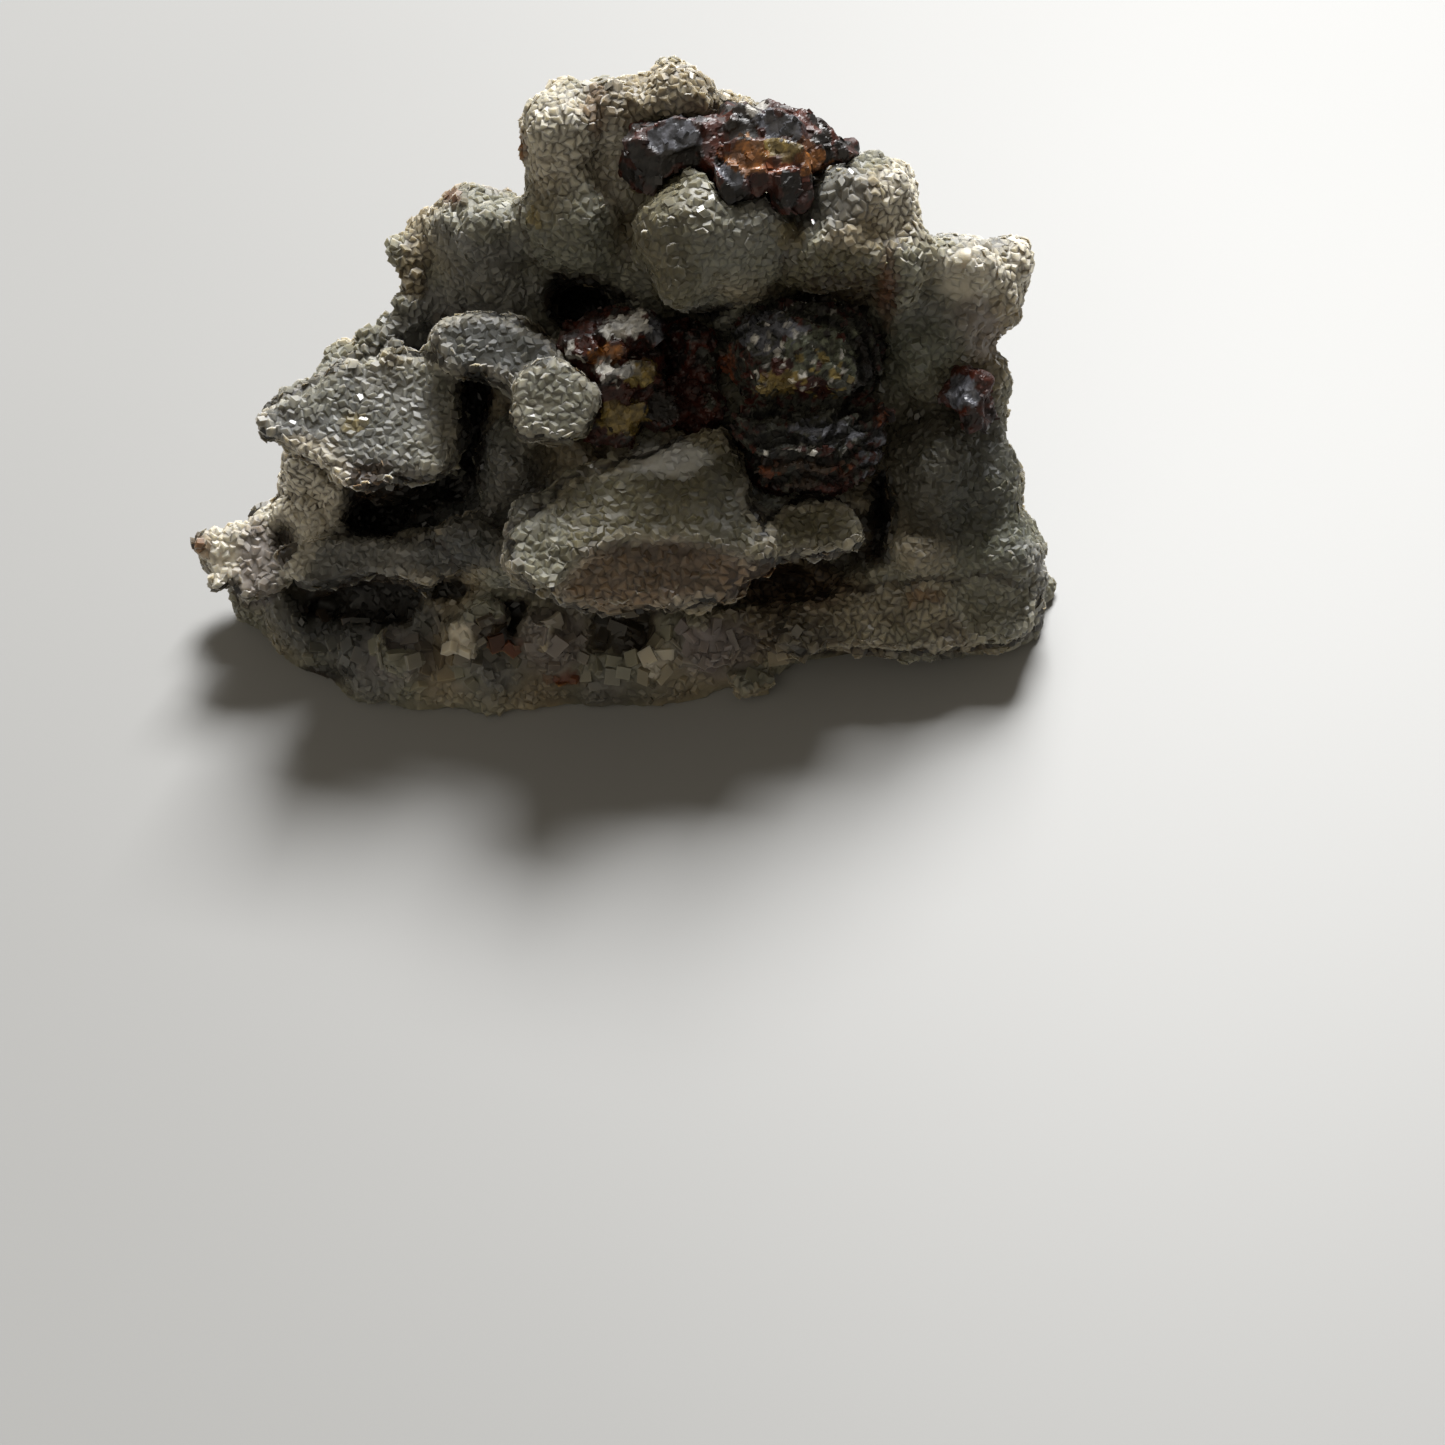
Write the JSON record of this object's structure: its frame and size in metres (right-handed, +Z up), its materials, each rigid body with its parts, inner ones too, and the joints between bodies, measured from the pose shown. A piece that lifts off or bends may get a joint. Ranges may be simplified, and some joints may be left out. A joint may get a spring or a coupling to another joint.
{
  "type": "smithsonite specimen",
  "caption": "Drusy smithsonite hand specimen: pale grey-green crusts, ledges and plates around dark, banded sphalerite nodules, cut flat underneath to rest on.",
  "frame": {"origin": "on the flat base, under the middle of the specimen, so it rests on z = 0", "axes": "+Z up; +X to the right along the specimen's length, seen from the display face; -Y out of the display face"},
  "size_m": [0.0448, 0.0269, 0.0276],
  "materials": {
    "smithsonite": "sugary druse of tiny translucent crystals, pale grey-green to tan, with sparkles",
    "sphalerite": "resinous to submetallic dark brown-black crystals with orange, yellow and silvery flecks"
  },
  "bodies": {
    "root": {"smithsonite_crust": "smithsonite", "top_sphalerite": "sphalerite", "left_sphalerite": "sphalerite", "right_sphalerite": "sphalerite", "gap_sphalerite": "sphalerite", "edge_sphalerite": "sphalerite"}
  },
  "joints": []
}
